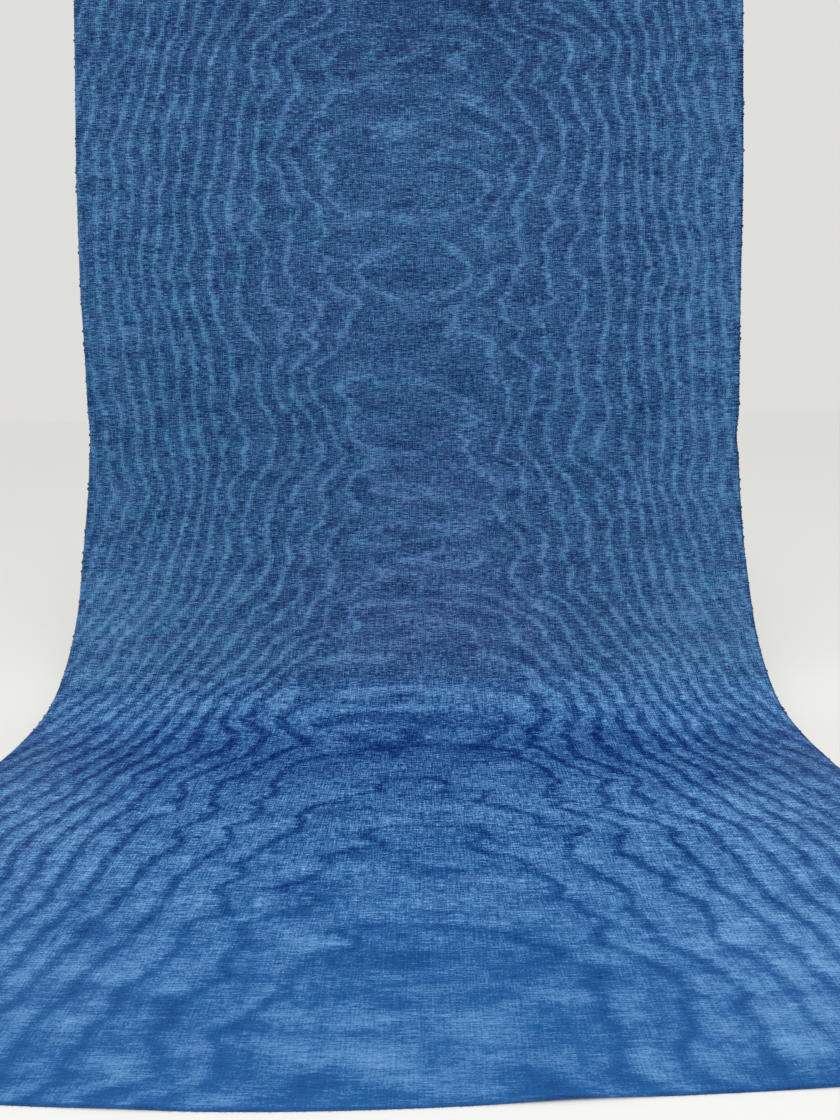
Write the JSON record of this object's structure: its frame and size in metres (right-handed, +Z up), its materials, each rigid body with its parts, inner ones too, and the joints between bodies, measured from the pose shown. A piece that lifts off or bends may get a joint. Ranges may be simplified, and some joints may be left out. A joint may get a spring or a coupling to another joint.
{
  "type": "moire silk fabric",
  "caption": "Loom-width length of blue watered silk that hangs from its top edge, sweeps forward in one curve and lies flat.",
  "frame": {"origin": "middle of the cloth's footprint, on the surface that its front stretch lies on", "axes": "+Z up, +X across the width to the viewer's right, +Y away from the viewer towards the hanging stretch"},
  "size_m": [0.3612, 0.3496, 0.4021],
  "materials": {
    "silk": "fine crosswise ribbed silk with a watered moire figure in lighter and darker blue, soft low sheen"
  },
  "bodies": {
    "root": {"cloth": "silk"}
  },
  "joints": []
}
